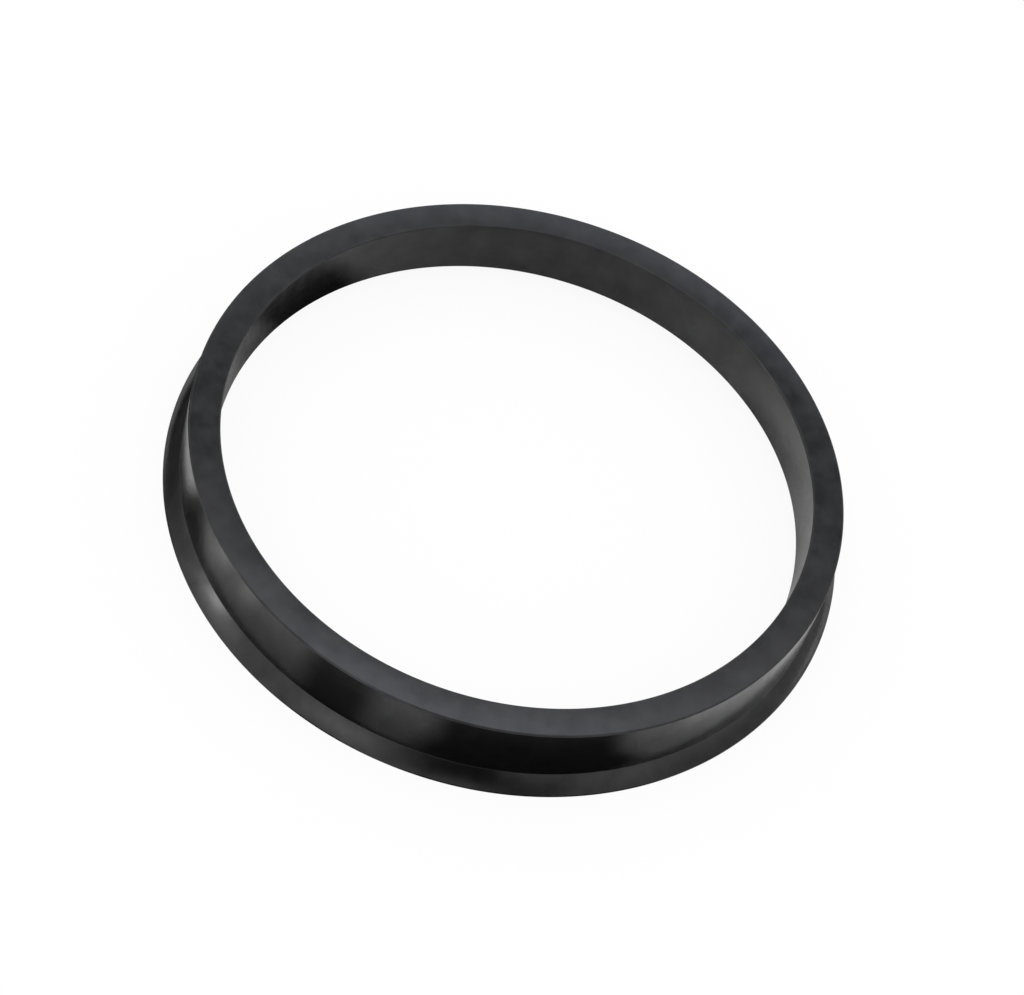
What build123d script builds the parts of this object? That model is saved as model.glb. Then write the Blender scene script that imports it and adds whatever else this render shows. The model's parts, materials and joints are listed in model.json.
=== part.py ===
from build123d import *
import os

# Hub centric ring: a moulded ring that fills the gap between a wheel's centre bore and the hub's spigot.
# It lies on its flange face, which meets the hub. The axis is +Z, which points into the wheel.
# The origin is on the axis, in the plane of the flange face.

# Driving dimensions in millimetres
bore_diameter = 66.1    # inner wall, which slides over the hub's spigot
wall = 3.5              # fills the gap to the wheel's centre bore, where its outside is held
overall_height = 9.2    # flange face to the face inside the wheel
lip_flare = 1.65        # how far the lip stands out, at 45 degrees, to seat in the wheel's chamfer
lip_land = 0.25         # upright edge of the lip, above the flange face
lead_in = 2.1           # 45 degree chamfer in the bore that clears the root of the spigot
edge_radius = 0.2       # rounding of both edges of the face inside the wheel

# Worked-out sizes
bore_radius = bore_diameter / 2
seat_radius = bore_radius + wall
lip_radius = seat_radius + lip_flare
lip_height = lip_land + lip_flare

os.makedirs("parts", exist_ok=True)

with BuildPart() as hub_centric_ring:
    # Section of the wall, turned about the axis
    with BuildSketch(Plane.XZ):
        with BuildLine():
            Polyline(
                (bore_radius + lead_in, 0),
                (lip_radius, 0),
                (lip_radius, lip_land),
                (seat_radius, lip_height),
                (seat_radius, overall_height),
                (bore_radius, overall_height),
                (bore_radius, lead_in),
                close=True,
            )
        make_face()
    revolve(axis=Axis.Z)

    # Both edges of the face inside the wheel are rounded
    inside_face = hub_centric_ring.faces().sort_by(Axis.Z)[-1]
    fillet(inside_face.edges(), radius=edge_radius)

hub_centric_ring.part.label = "hub_centric_ring"
export_step(hub_centric_ring.part, "parts/hub_centric_ring.step")
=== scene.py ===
import json
import math
from itertools import count

import bpy
from mathutils import Matrix, Vector


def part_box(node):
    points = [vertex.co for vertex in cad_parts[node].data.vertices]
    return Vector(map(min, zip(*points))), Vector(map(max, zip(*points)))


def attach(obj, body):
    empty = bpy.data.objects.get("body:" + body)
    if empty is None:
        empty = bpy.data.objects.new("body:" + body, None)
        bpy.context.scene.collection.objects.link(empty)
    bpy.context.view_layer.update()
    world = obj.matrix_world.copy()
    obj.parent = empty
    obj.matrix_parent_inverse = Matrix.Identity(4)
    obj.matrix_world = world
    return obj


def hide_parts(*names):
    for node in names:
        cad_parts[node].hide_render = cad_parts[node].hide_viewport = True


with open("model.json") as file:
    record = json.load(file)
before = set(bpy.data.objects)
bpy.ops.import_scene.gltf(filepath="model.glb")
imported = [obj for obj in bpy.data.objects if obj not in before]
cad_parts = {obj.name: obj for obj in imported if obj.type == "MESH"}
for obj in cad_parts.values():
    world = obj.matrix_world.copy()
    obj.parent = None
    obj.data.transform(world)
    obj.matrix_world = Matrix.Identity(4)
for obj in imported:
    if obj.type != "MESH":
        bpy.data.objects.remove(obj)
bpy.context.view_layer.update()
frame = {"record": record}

# Sizes of the ring in metres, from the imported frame
NODE = "hub_centric_ring"
MM = 0.001
mounts = {mount["name"]: mount for mount in frame["record"]["mounts"]}


def mount_radius(name):
    """Radius of a bore or a pin."""
    return mounts[name]["dims"]["r_mm"] * MM


def mount_foot(name):
    """Height at which a bore or a pin begins."""
    return mounts[name]["pos_m"][2] - mounts[name]["dims"]["length_mm"] * MM / 2


ring_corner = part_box(NODE)[1]
height = ring_corner.z
lip_radius = ring_corner.x
seat_radius = mount_radius("wheel_seat")
bore_radius = mount_radius("hub_bore")
lip_height = mount_foot("wheel_seat")
lip_land = lip_height - (lip_radius - seat_radius)
lead_in = mount_foot("hub_bore")

# Roundings of the edges
top_edge_radius = 0.2 * MM
lip_edge_radius = 0.08 * MM
lip_root_radius = 0.08 * MM
bore_foot_radius = 0.15 * MM

# Crowns of the top face and the lip: how far they lean at their sides, and the share that is curved
top_crown_tilt = math.radians(0.8)
lip_crown_tilt = math.radians(4.0)
CROWN_SHARE = 0.85

# Fineness of the mesh, and the stretches and margins of its map
SEGMENTS = 720
STEPS_PER_EDGE = 6
MAP_STRETCHES = 3
MAP_MARGIN = 0.02


def rounded(previous, corner, following, radius, wear):
    """The arc that rounds a corner of the section, as points, outward normals and shares of edge wear."""
    to_previous = (previous - corner).normalized()
    to_following = (following - corner).normalized()
    half = to_previous.angle(to_following) / 2
    centre = corner + (to_previous + to_following).normalized() * (radius / math.sin(half))
    start = corner + to_previous * (radius / math.tan(half)) - centre
    end = corner + to_following * (radius / math.tan(half)) - centre
    turn = start.angle_signed(end)
    outward = -1.0 if turn > 0 else 1.0
    arc = []
    for step in range(STEPS_PER_EDGE + 1):
        share = step / STEPS_PER_EDGE
        spoke = Matrix.Rotation(-turn * share, 2) @ start
        arc.append((centre + spoke, spoke.normalized() * outward, wear * math.sin(math.pi * share)))
    return arc


def crown(first, second, tilt):
    """The shallow corner that crowns the line between two corners of the section, and its rounding."""
    side = (second - first) / 2
    outward = Vector((side.y, -side.x))
    return first + side + outward * math.tan(tilt), CROWN_SHARE * side.length / math.tan(tilt)


def ring_corners():
    """Corners of the wall's section, counter-clockwise, each with its rounding and share of edge wear."""
    lip_edge = Vector((lip_radius, lip_land))
    lip_root = Vector((seat_radius, lip_height))
    lip_middle, lip_rounding = crown(lip_edge, lip_root, lip_crown_tilt)
    seat_edge = Vector((seat_radius, height))
    bore_edge = Vector((bore_radius, height))
    top_middle, top_rounding = crown(seat_edge, bore_edge, top_crown_tilt)
    rise = top_middle.y - top_rounding * (1 / math.cos(top_crown_tilt) - 1) - height
    sink = Vector((0.0, -rise))
    return [
        (Vector((bore_radius + lead_in, 0.0)), lip_edge_radius, 0.5),
        (Vector((lip_radius, 0.0)), lip_edge_radius, 1.0),
        (lip_edge, lip_edge_radius, 1.0),
        (lip_middle, lip_rounding, 0.0),
        (lip_root, lip_root_radius, 0.0),
        (seat_edge + sink, top_edge_radius, 1.0),
        (top_middle + sink, top_rounding, 0.0),
        (bore_edge + sink, top_edge_radius, 0.4),
        (Vector((bore_radius, lead_in)), bore_foot_radius, 0.5),
    ]


def ring_section():
    """The outline of the wall's section, with every corner rounded."""
    corners = ring_corners()
    section = []
    for index, (corner, radius, wear) in enumerate(corners):
        previous = corners[index - 1][0]
        following = corners[(index + 1) % len(corners)][0]
        section += rounded(previous, corner, following, radius, wear)
    return section


def add_object(name, data):
    """A new object in the scene."""
    added = bpy.data.objects.new(name, data)
    bpy.context.scene.collection.objects.link(added)
    return added


def add_values(data, name, values):
    """A number for each vertex, which materials can read."""
    data.attributes.new(name, "FLOAT", "POINT").data.foreach_set("value", values)


def along(section):
    """How far each point is along the section's outline, from 0 to 1 at its return to the first point."""
    lengths = [0.0]
    for here, following in zip(section, section[1:] + section[:1]):
        lengths.append(lengths[-1] + (following[0] - here[0]).length)
    return [length / lengths[-1] for length in lengths]


def bake_map(data, section):
    """A map of the turned surface, cut into equal stretches that lie in rows above one another."""
    shares = along(section)
    columns = SEGMENTS // MAP_STRETCHES
    used = 1.0 - 2 * MAP_MARGIN
    places = []
    for row in range(len(section)):
        for index in range(SEGMENTS):
            stretch, column = divmod(index, columns)
            for across, up in ((0, 0), (1, 0), (1, 1), (0, 1)):
                u = MAP_MARGIN + used * (column + across) / columns
                v = (stretch + MAP_MARGIN + used * shares[row + up]) / MAP_STRETCHES
                places += (u, v)
    data.uv_layers.new(name="OFBake").data.foreach_set("uv", places)


def turned_faces(rows):
    """Faces from each row of points to the next, all the way round, and from the last row to the first."""
    faces = []
    for row in range(rows):
        low = row * SEGMENTS
        high = (row + 1) % rows * SEGMENTS
        for index in range(SEGMENTS):
            following = (index + 1) % SEGMENTS
            faces.append((low + index, low + following, high + following, high + index))
    return faces


def turned_mesh(name, section):
    """A closed mesh made by turning the section about the Z axis, shaded with the section's own normals. Its
    wear is that of the edges, and its draw is how upright the surface is."""
    points = []
    normals = []
    wear = []
    draw = []
    for (radius, z), (outward, upward), worn in section:
        for index in range(SEGMENTS):
            angle = 2 * math.pi * index / SEGMENTS
            points.append((radius * math.cos(angle), radius * math.sin(angle), z))
            normals.append((outward * math.cos(angle), outward * math.sin(angle), upward))
            wear.append(worn)
            draw.append(1.0 - abs(upward))
    data = bpy.data.meshes.new(name)
    data.from_pydata(points, [], turned_faces(len(section)))
    data.shade_smooth()
    add_values(data, "wear", wear)
    add_values(data, "draw", draw)
    bake_map(data, section)
    data.normals_split_custom_set_from_vertices(normals)
    return add_object(name, data)


# Places of the colour inputs and of the colour result on a node that mixes colours
MIX_COLOURS = (6, 7)
MIX_RESULT = 2

# The range that noise mostly keeps to
NOISE_LOW = 0.3
NOISE_HIGH = 0.7


class Shading:
    """The nodes of a material. What goes into a node is a number, a colour or another node's output."""

    def __init__(self, material):
        material.use_nodes = True
        self.nodes = material.node_tree.nodes
        self.links = material.node_tree.links

    def feed(self, socket, value):
        """Puts this value into an input."""
        if isinstance(value, bpy.types.NodeSocket):
            self.links.new(value, socket)
        else:
            socket.default_value = value

    def add(self, kind, **values):
        """A new node with these values, by the inputs' names with _ for a space."""
        node = self.nodes.new(kind)
        for name, value in values.items():
            self.feed(node.inputs[name.replace("_", " ")], value)
        return node

    def fill(self, node, *values):
        """The output of a node, after these values go into its inputs in their order."""
        for socket, value in zip(node.inputs, values):
            self.feed(socket, value)
        return node.outputs[0]

    def maths(self, operation, *values):
        """The result of a sum."""
        node = self.add("ShaderNodeMath")
        node.operation = operation
        return self.fill(node, *values)

    def colours(self, share, first, second):
        """The first colour, with this share of the second."""
        node = self.add("ShaderNodeMix")
        node.data_type = "RGBA"
        self.feed(node.inputs["Factor"], share)
        for place, colour in zip(MIX_COLOURS, (first, second)):
            self.feed(node.inputs[place], colour)
        return node.outputs[MIX_RESULT]

    def attribute(self, name):
        """The mesh's number of this name."""
        node = self.add("ShaderNodeAttribute")
        node.attribute_name = name
        return node.outputs["Fac"]

    def noise(self, place, **values):
        """Noise at this place."""
        return self.add("ShaderNodeTexNoise", Vector=place, **values).outputs["Fac"]

    def stretched(self, noise, low, high):
        """Noise stretched from the range that it mostly keeps to, to the range from low to high."""
        limits = {"From_Min": NOISE_LOW, "From_Max": NOISE_HIGH, "To_Min": low, "To_Max": high}
        return self.add("ShaderNodeMapRange", Value=noise, **limits).outputs[0]

    def bump(self, heights, depth, **below):
        """The surface's normal with these heights added to what is below."""
        return self.add("ShaderNodeBump", Height=heights, Distance=depth, **below).outputs[0]


# The plastic's surface: how coarse each unevenness is, per metre, and how deep, in metres
MOTTLE_SCALE = 420.0
GRAIN_SCALE = 4200.0
SWAY_SCALE = 130.0
STREAK_SCALE = 900.0
STREAK_STRETCH = 40.0
GRAIN_DEPTH = 0.0016 * MM
SWAY_DEPTH = 0.04 * MM
STREAK_DEPTH = 0.010 * MM

# The plastic's gloss and colours, which the mottle, the streaks and the wear vary
PLASTIC_IOR = 1.5
ROUGH_RANGE = (0.14, 0.18)
ROUGH_DRAWN = 0.12
SHEEN_RANGE = (0.41, 0.59)
BLACK_DEEP = (0.0024, 0.0024, 0.0026, 1.0)
BLACK_PALE = (0.0042, 0.0042, 0.0045, 1.0)
BLACK_WORN = (0.010, 0.010, 0.0105, 1.0)


def black_plastic():
    """Satin moulded plastic, near black, with a mottled sheen, a fine grain and burnished edges. The walls,
    which slid along the mould, are duller and have faint streaks along the axis."""
    material = bpy.data.materials.new("black_plastic")
    shading = Shading(material)
    shader = shading.nodes["Principled BSDF"].inputs
    place = shading.add("ShaderNodeTexCoord").outputs["Object"]
    squeeze = (1.0, 1.0, 1.0 / STREAK_STRETCH)
    drawn_out = shading.add("ShaderNodeMapping", Vector=place, Scale=squeeze).outputs[0]
    mottle = shading.noise(place, Scale=MOTTLE_SCALE, Detail=4.0, Roughness=0.6)
    grain = shading.noise(place, Scale=GRAIN_SCALE, Detail=2.0)
    sway = shading.noise(place, Scale=SWAY_SCALE, Detail=1.0)
    streak = shading.noise(drawn_out, Scale=STREAK_SCALE, Detail=3.0)
    drawn = shading.maths("MULTIPLY", streak, shading.attribute("draw"))
    worn = shading.maths("MULTIPLY", mottle, shading.attribute("wear"))
    black = shading.colours(mottle, BLACK_DEEP, BLACK_PALE)
    rough = shading.stretched(mottle, *ROUGH_RANGE)
    surface = shading.bump(sway, SWAY_DEPTH)
    surface = shading.bump(drawn, STREAK_DEPTH, Normal=surface)
    shading.feed(shader["IOR"], PLASTIC_IOR)
    shading.feed(shader["Base Color"], shading.colours(worn, black, BLACK_WORN))
    shading.feed(shader["Roughness"], shading.maths("MULTIPLY_ADD", drawn, ROUGH_DRAWN, rough))
    shading.feed(shader["Specular IOR Level"], shading.stretched(mottle, *SHEEN_RANGE))
    shading.feed(shader["Normal"], shading.bump(grain, GRAIN_DEPTH, Normal=surface))
    return material


ring = turned_mesh("moulded_ring", ring_section())
ring.data.materials.append(black_plastic())
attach(ring, "root")
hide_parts(NODE)

# Camera at the photograph's viewing angle, about a pivot on the axis, with its aim a little beside that
UPWARD = Vector((0.0, 0.0, 1.0))
camera_distance = 335.0 * MM
camera_elevation = math.radians(50.345)
camera_roll = math.radians(19.117)
pivot_depth = 3.4 * MM
aim_shift = Vector((0.545 * MM, -3.606 * MM, 0.0))
pivot = UPWARD * (height - pivot_depth)
eye = pivot + camera_distance * Vector((0.0, -math.cos(camera_elevation), math.sin(camera_elevation)))
LENS_MM = 106.96
SENSOR_MM = 36.0
NEAREST_SEEN = 0.01
FURTHEST_SEEN = 10.0


def add_camera():
    """The camera at the eye, turned to its aim and rolled."""
    forward = (pivot + aim_shift - eye).normalized()
    level = forward.cross(UPWARD).normalized()
    upright = level.cross(forward)
    right = math.cos(camera_roll) * level + math.sin(camera_roll) * upright
    up = right.cross(forward)
    data = bpy.data.cameras.new("camera")
    data.lens = LENS_MM
    data.sensor_width = SENSOR_MM
    data.clip_start = NEAREST_SEEN
    data.clip_end = FURTHEST_SEEN
    camera = add_object("camera", data)
    camera.matrix_world = Matrix.Translation(eye) @ Matrix((right, up, -forward)).transposed().to_4x4()
    return camera


bpy.context.scene.camera = add_camera()
bpy.context.scene.view_settings.view_transform = "Standard"

# White room, which lights the ring evenly from all round
WHITE = (1.0, 1.0, 1.0, 1.0)
BLACK = (0.0, 0.0, 0.0, 1.0)
world = bpy.data.worlds.new("white_room")
world.use_nodes = True
world.node_tree.nodes["Background"].inputs["Color"].default_value = WHITE
bpy.context.scene.world = world

# Floor of white paper, and how much of it is plain white to the camera and in a mirror
FLOOR_SIZE = 4.0
PAPER_WHITE = (0.86, 0.86, 0.86, 1.0)
PLAIN_STRENGTH = 1.02
PLAIN_SHARE = 0.9
MIRRORED_SHARE = 0.15


def stage_material(name):
    """An empty material, its nodes, and the socket that its surface goes to."""
    material = bpy.data.materials.new(name)
    shading = Shading(material)
    shading.nodes.clear()
    return material, shading, shading.add("ShaderNodeOutputMaterial").inputs["Surface"]


def floor_material():
    """White paper. The camera sees it nearly plain white, with a little of the ring's shadow, and so does
    glass. In a mirror more of the shadow stays."""
    material, shading, surface = stage_material("floor")
    path = shading.add("ShaderNodeLightPath").outputs
    direct = shading.maths("ADD", path["Is Camera Ray"], path["Is Transmission Ray"])
    glossy = shading.maths("MULTIPLY", path["Is Glossy Ray"], MIRRORED_SHARE)
    share = shading.maths("MULTIPLY_ADD", direct, PLAIN_SHARE, glossy)
    paper = shading.add("ShaderNodeBsdfDiffuse", Color=PAPER_WHITE).outputs[0]
    plain = shading.add("ShaderNodeEmission", Strength=PLAIN_STRENGTH).outputs[0]
    shading.feed(surface, shading.fill(shading.add("ShaderNodeMixShader"), share, paper, plain))
    return material


def stage_grid(name, material, place, cover, steps):
    """A sheet on the stage. At s and t, both from 0 to 1, it is at place(s, t) and covers by cover(s, t)."""
    points = []
    values = []
    for row in range(steps + 1):
        for column in range(steps + 1):
            points.append(place(column / steps, row / steps))
            values.append(cover(column / steps, row / steps))
    faces = []
    for row in range(steps):
        for column in range(steps):
            corner = row * (steps + 1) + column
            faces.append((corner, corner + 1, corner + steps + 2, corner + steps + 1))
    data = bpy.data.meshes.new(name)
    data.from_pydata(points, [], faces)
    add_values(data, "cover", values)
    sheet = add_object(name, data)
    sheet.data.materials.append(material)
    return sheet


def floor_place(s, t):
    """A point of the floor."""
    return (s - 0.5) * FLOOR_SIZE, (t - 0.5) * FLOOR_SIZE, 0.0


stage_grid("floor", floor_material(), floor_place, cover=lambda s, t: 1.0, steps=1)


def flag_and_painted_shadow_material():
    """Black cloth that covers as much as its sheet says. On the floor it is painted shadow and painted shade,
    seen in reflections alone.
    """
    material, shading, surface = stage_material("flag_and_painted_shadow")
    clear = shading.add("ShaderNodeBsdfTransparent").outputs[0]
    black = shading.add("ShaderNodeBsdfDiffuse", Color=BLACK).outputs[0]
    mix = shading.add("ShaderNodeMixShader")
    shading.feed(surface, shading.fill(mix, shading.attribute("cover"), clear, black))
    return material


def glow_material(name, colour):
    """Light of this colour, as strong as its sheet says, on top of what is behind it. On the floor it is
    painted pools of light, seen in reflections alone.
    """
    material, shading, surface = stage_material(name)
    glow = shading.add("ShaderNodeEmission", Color=colour, Strength=shading.attribute("cover")).outputs[0]
    clear = shading.add("ShaderNodeBsdfTransparent").outputs[0]
    shading.feed(surface, shading.fill(shading.add("ShaderNodeAddShader"), glow, clear))
    material.cycles.emission_sampling = "NONE"
    return material


# Black sheets serve as flags in the room and as painted shadow and shade on the floor; glowing sheets as soft
# lights in the room and as painted pools of light on the floor
FLAG_AND_PAINTED_SHADOW = flag_and_painted_shadow_material()
SOFT_WHITE = glow_material("soft_white", WHITE)
SOFT_COOL = glow_material("soft_cool", (0.95, 1.0, 1.2, 1.0))
SOFT_BLUE = glow_material("soft_blue", (0.75, 1.0, 1.45, 1.0))


def only_mirrored(sheet):
    """Leaves a sheet out of everything but reflections."""
    sheet.visible_camera = False
    sheet.visible_diffuse = False
    sheet.visible_transmission = False
    sheet.visible_shadow = False


def smooth_step(low, high, value):
    """0 up to low, 1 from high on, and a smooth rise between them."""
    share = min(max((value - low) / (high - low), 0.0), 1.0)
    return share * share * (3 - 2 * share)


def fade(share, soft):
    """0 at both ends of the range 0 to 1, and 1 from soft on inside them."""
    return smooth_step(0.0, soft, share) * smooth_step(0.0, soft, 1.0 - share)


def direction(azimuth, elevation):
    """Unit vector at these angles in degrees, azimuth from +X towards +Y."""
    a = math.radians(azimuth)
    e = math.radians(elevation)
    return Vector((math.cos(a) * math.cos(e), math.sin(a) * math.cos(e), math.sin(e)))


# Soft lights and flags round the ring
ROOM_RADIUS = 3.0
ROOM_STEPS = 24


def room_sheet(name, material, toward, size, strength, soft=0.5, tilt=0.0):
    """A sheet in the room, toward an azimuth and elevation and of a width and height, all in degrees. It
    fades over the share soft at each side, and is tilted by so many degrees."""
    azimuth, elevation = toward
    width, tall = size
    turn = math.radians(tilt)

    def place(s, t):
        across = (s - 0.5) * width
        rise = (t - 0.5) * tall
        turned_across = across * math.cos(turn) - rise * math.sin(turn)
        turned_rise = across * math.sin(turn) + rise * math.cos(turn)
        widened = turned_across / math.cos(math.radians(elevation))
        return direction(azimuth + widened, elevation + turned_rise) * ROOM_RADIUS

    def cover(s, t):
        return strength * fade(s, soft) * fade(t, soft)

    only_mirrored(stage_grid(name, material, place, cover, ROOM_STEPS))


room_sheet("softbox_behind", SOFT_COOL, toward=(89.5, 59.0), size=(29.0, 15.0), strength=1.55)
room_sheet("softbox_behind_right", SOFT_WHITE, toward=(78.5, 53.3), size=(5.5, 5.0), strength=0.55)
room_sheet("softbox_behind_left", SOFT_WHITE, toward=(100.0, 54.5), size=(5.0, 5.0), strength=0.35)
room_sheet("bar_behind", FLAG_AND_PAINTED_SHADOW, toward=(90.3, 49.5), size=(44.0, 4.7), strength=1.0, soft=0.3, tilt=12.0)
room_sheet("bar_behind_right", FLAG_AND_PAINTED_SHADOW, toward=(81.0, 48.3), size=(9.0, 8.0), strength=0.6)
room_sheet("bar_behind_left", FLAG_AND_PAINTED_SHADOW, toward=(100.5, 50.3), size=(8.0, 4.5), strength=0.4)
room_sheet("low_flag_behind", FLAG_AND_PAINTED_SHADOW, toward=(90.0, 36.0), size=(40.0, 30.0), strength=0.2, soft=0.3)
room_sheet("low_softbox_behind", SOFT_BLUE, toward=(90.0, 36.0), size=(40.0, 30.0), strength=0.33, soft=0.3)
room_sheet("lamp_left", SOFT_WHITE, toward=(195.2, 27.5), size=(9.5, 15.0), strength=8.5)
room_sheet("glow_left", SOFT_WHITE, toward=(198.0, 22.5), size=(34.0, 24.0), strength=1.45)
room_sheet("softbox_front", SOFT_WHITE, toward=(246.5, 33.0), size=(28.0, 26.0), strength=1.2)
room_sheet("flag_left", FLAG_AND_PAINTED_SHADOW, toward=(148.0, 5.0), size=(80.0, 34.0), strength=0.8, soft=0.3)
room_sheet("flag_front", FLAG_AND_PAINTED_SHADOW, toward=(282.5, 39.0), size=(37.0, 36.0), strength=1.0, soft=0.33)
room_sheet("flag_front_right", FLAG_AND_PAINTED_SHADOW, toward=(303.0, 24.5), size=(42.0, 44.0), strength=0.75)
room_sheet("flag_right_front", FLAG_AND_PAINTED_SHADOW, toward=(338.0, 10.0), size=(60.0, 36.0), strength=0.36, soft=0.35)
room_sheet("flag_right", FLAG_AND_PAINTED_SHADOW, toward=(17.0, 6.0), size=(72.0, 34.0), strength=0.45, soft=0.35)

# Sheets on the floor by the ring, each placed where a wall or the lip mirrors it to the camera: black ones of
# painted shadow and painted shade, glowing ones of painted pools of light, all seen in reflections alone
FLOOR_STEPS = 40
SHEET_LIFT = 0.02 * MM
sheet_levels = count(1)


def floor_sheet(name, material, place, cover):
    """A sheet just above the floor and the sheets before it, which shows in reflections alone."""
    lift = UPWARD * (next(sheet_levels) * SHEET_LIFT)
    only_mirrored(stage_grid(name, material, lambda s, t: place(s, t) + lift, cover, FLOOR_STEPS))


def angle_at(start, end, soft, s):
    """The angle at s on a sheet that reaches soft degrees past both its ends."""
    return start - soft + (end - start + 2 * soft) * s


def left_at(start, end, soft, s):
    """How much of such a sheet is left at s: none at its sides, and all from soft degrees inside its ends."""
    return fade(s, 2 * soft / (end - start + 2 * soft))


def mirrored(degrees, z, radius):
    """The point of the floor that a wall of this radius mirrors to the camera from this angle and height."""
    outward = direction(degrees, 0.0)
    point = outward * radius + UPWARD * z
    view = (eye - point).normalized()
    bounce = outward * (2 * view.dot(outward)) - view
    return point - bounce * (z / bounce.z)


# Painted shadows on the floor that show in the outer wall's reflection: their foot, how many ring heights
# they reach, and the share that fades
WALL_FOOT = 2.0 * MM
PAINTED_SHADOW_REACH = 2.5
PAINTED_SHADOW_FALL = 0.8


def wall_painted_shadow(name, low, high, soft, strength, knee=1.0):
    """A black sheet of painted shadow on the floor, which shows in the outer wall from one angle to another,
    as low gives them at the foot of the wall and high from the share knee of the ring's height above it on.
    It fades within soft degrees of both angles, and further out than the wall shows it to the camera."""

    def ends(t):
        share = min(t * PAINTED_SHADOW_REACH / knee, 1.0)
        return low[0] + (high[0] - low[0]) * share, low[1] + (high[1] - low[1]) * share

    def place(s, t):
        return mirrored(angle_at(*ends(t), soft, s), WALL_FOOT + t * PAINTED_SHADOW_REACH * height, seat_radius)

    def cover(s, t):
        return strength * left_at(*ends(t), soft, s) * smooth_step(0.0, PAINTED_SHADOW_FALL, 1.0 - t)

    floor_sheet(name, FLAG_AND_PAINTED_SHADOW, place, cover)


# Painted shadows on the floor in front of and left of the ring, seen in the outer wall's reflection
wall_painted_shadow("floor_painted_shadow_front", low=(267.8, 311.2), high=(271.5, 302.3), soft=3.0, strength=0.975, knee=0.41)
wall_painted_shadow("floor_painted_shadow_left_front", low=(247.5, 259.0), high=(247.8, 260.8), soft=3.0, strength=0.85)
wall_painted_shadow("floor_painted_shadow_left", low=(203.1, 220.6), high=(214.6, 216.4), soft=2.5, strength=0.92)

# Painted shade on the floor that shows below the bore's upper edge, as black sheets which reach so many
# times the depth that they grow over
EDGE_SHADE_REACH = 8.0


def bore_edge_shade(name, ends, soft, strength, depth):
    """A black sheet of painted shade on the floor, which shows at the top of the bore's wall between two
    angles.
    It grows over this depth to the edge, and fades within soft degrees of both angles."""

    def place(s, t):
        z = height - depth + t * depth * EDGE_SHADE_REACH
        return mirrored(angle_at(*ends, soft, s), z, bore_radius)

    def cover(s, t):
        return strength * left_at(*ends, soft, s) * smooth_step(0.0, 1.0 / EDGE_SHADE_REACH, t)

    floor_sheet(name, FLAG_AND_PAINTED_SHADOW, place, cover)


bore_edge_shade("floor_shade_bore_edge", ends=(34.0, 122.0), soft=8.0, strength=0.36, depth=0.6 * MM)
bore_edge_shade("floor_shade_bore_edge_right", ends=(37.0, 52.0), soft=6.0, strength=0.55, depth=0.6 * MM)
bore_edge_shade("floor_shade_bore_edge_left", ends=(104.0, 116.0), soft=6.0, strength=0.25, depth=0.5 * MM)

# The least fade for a side of a patch, which stays within one step of the sheet
SHARP = 0.001


def floor_patch(name, material, ends, near, far, soft, strength, rise=SHARP, fall=SHARP, taper=0.0):
    """A sheet between two angles and two radii, which fades within soft degrees of both angles, and over the
    shares rise and fall of its width at its near and far side. The share taper of its width is gone at its
    last angle."""

    def place(s, t):
        return direction(angle_at(*ends, soft, s), 0.0) * (near + (far - near) * (1.0 - taper * s) * t)

    def cover(s, t):
        across = smooth_step(0.0, rise, t) * smooth_step(0.0, fall, 1.0 - t)
        return strength * left_at(*ends, soft, s) * across

    floor_sheet(name, material, place, cover)


def inside(name, material, ends, reach, soft, strength, **fades):
    """A patch inside the ring, between two distances in from the bore, in millimetres."""
    near, far = [bore_radius - distance * MM for distance in reach]
    floor_patch(name, material, ends, near, far, soft, strength, **fades)


def outside(name, material, ends, reach, soft, strength, **fades):
    """A patch outside the ring, between two distances out from the lip, in millimetres."""
    near, far = [lip_radius + distance * MM for distance in reach]
    floor_patch(name, material, ends, near, far, soft, strength, **fades)


# Inside the ring: painted shadow, painted shade and painted pools of light on the floor, seen in the bore's
# reflection
inside("floor_painted_shadow_inside", FLAG_AND_PAINTED_SHADOW, (134.5, 158.5), (0.0, 6.1), soft=4.5, strength=0.96, fall=0.35, taper=0.38)
inside("floor_shade_inside", FLAG_AND_PAINTED_SHADOW, (158.0, 188.0), (0.0, 10.0), soft=6.0, strength=0.55, fall=0.3)
inside("floor_shade_left_inside", FLAG_AND_PAINTED_SHADOW, (156.0, 168.0), (0.0, 1.8), soft=4.0, strength=0.34, fall=0.3)
inside("floor_shade_behind", FLAG_AND_PAINTED_SHADOW, (80.0, 140.0), (0.0, 10.0), soft=12.0, strength=0.14, fall=0.3)
inside("floor_glow_inside", SOFT_WHITE, (30.0, 74.0), (0.0, 10.0), soft=10.0, strength=0.08, fall=0.3)
inside("floor_shade_right_inside", FLAG_AND_PAINTED_SHADOW, (2.0, 18.0), (0.0, 1.6), soft=4.0, strength=0.28, fall=0.5)
inside("floor_shade_far_inside", FLAG_AND_PAINTED_SHADOW, (30.0, 50.0), (0.0, 3.2), soft=4.0, strength=0.3, fall=0.5)
inside(
    "floor_glow_right_inside", SOFT_WHITE, (26.0, 54.0), (1.5, 10.0),
    soft=6.0, strength=0.16, rise=0.25, fall=0.3)
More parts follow.
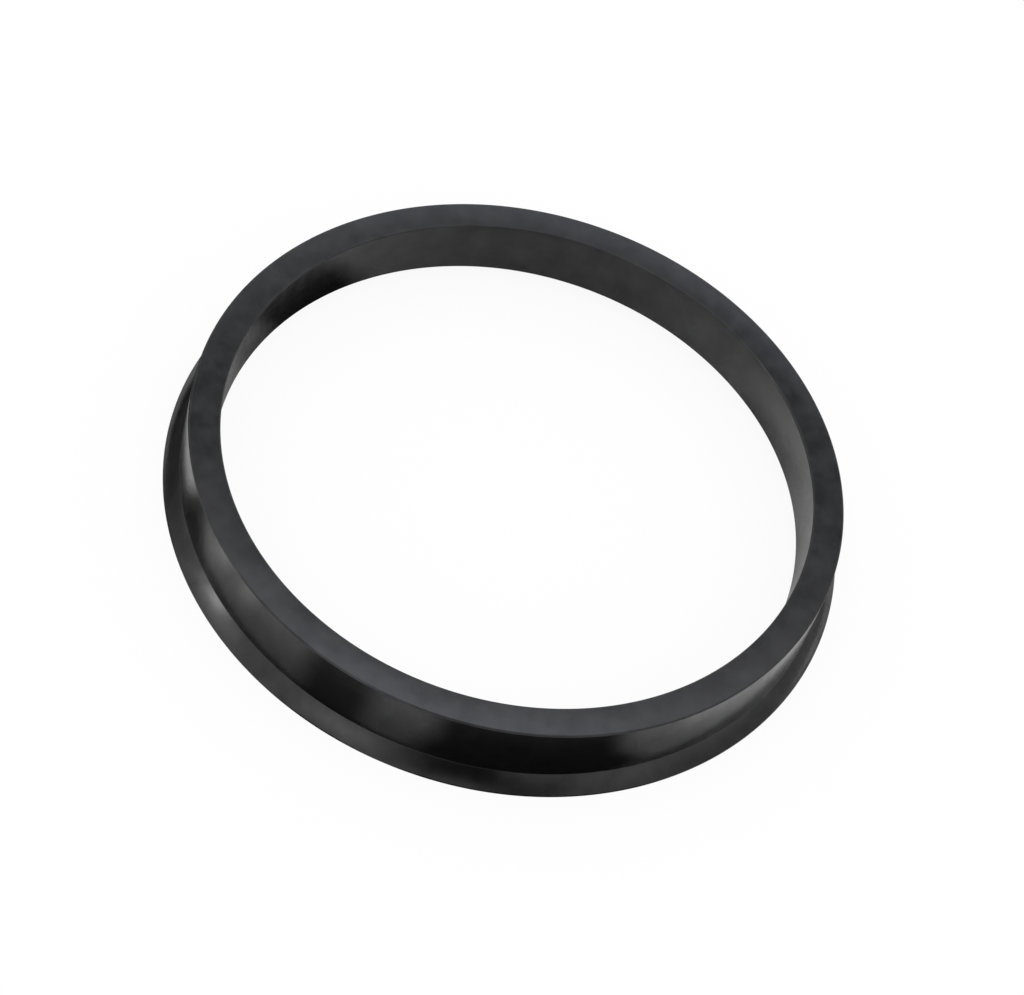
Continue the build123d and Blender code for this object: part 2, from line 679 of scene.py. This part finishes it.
# Outside the ring: painted shade and painted pools of light on the floor, seen in the outer wall and the lip
outside("floor_shade_front", FLAG_AND_PAINTED_SHADOW, (217.5, 319.0), (0.0, 4.5), soft=11.0, strength=0.46, fall=0.8)
outside(
    "floor_glow_front", SOFT_WHITE, (215.8, 220.4), (1.0, 8.0),
    soft=2.5, strength=0.68, rise=0.3, fall=0.25)
outside(
    "floor_glow_left_front", SOFT_WHITE, (224.6, 229.4), (0.7, 7.0),
    soft=2.8, strength=0.44, rise=0.3, fall=0.3)
outside(
    "floor_glow_right_front", SOFT_WHITE, (319.5, 335.0), (1.2, 5.0),
    soft=3.0, strength=0.34, rise=0.3, fall=0.3)
outside("floor_shade_right_front", FLAG_AND_PAINTED_SHADOW, (316.0, 333.0), (0.0, 2.0), soft=4.0, strength=0.16, fall=0.5)
outside("floor_shade_left", FLAG_AND_PAINTED_SHADOW, (110.0, 190.0), (1.2, 250.0), soft=10.0, strength=0.86, fall=0.2)
outside("floor_shade_right", FLAG_AND_PAINTED_SHADOW, (0.0, 60.0), (1.2, 250.0), soft=10.0, strength=0.64, fall=0.2)
outside("floor_glow_left", SOFT_WHITE, (190.0, 203.0), (0.0, 3.0), soft=5.0, strength=0.13, fall=0.5)
outside("floor_glow_right", SOFT_WHITE, (343.0, 359.0), (0.0, 3.5), soft=5.0, strength=0.17, fall=0.5)
outside(
    "floor_glow_far_right", SOFT_WHITE, (338.0, 358.0), (1.0, 16.0),
    soft=5.0, strength=0.85, rise=0.2, fall=0.4)
outside("floor_shade_far_left", FLAG_AND_PAINTED_SHADOW, (158.0, 189.0), (1.0, 60.0), soft=5.0, strength=0.7, fall=0.5)
outside(
    "floor_shade_lip_left", FLAG_AND_PAINTED_SHADOW, (191.0, 199.0), (6.0, 18.0),
    soft=4.0, strength=0.5, rise=0.1, fall=0.3)
outside(
    "floor_shade_lip_front", FLAG_AND_PAINTED_SHADOW, (201.0, 213.0), (2.2, 9.0),
    soft=3.0, strength=0.6, rise=0.1, fall=0.3)
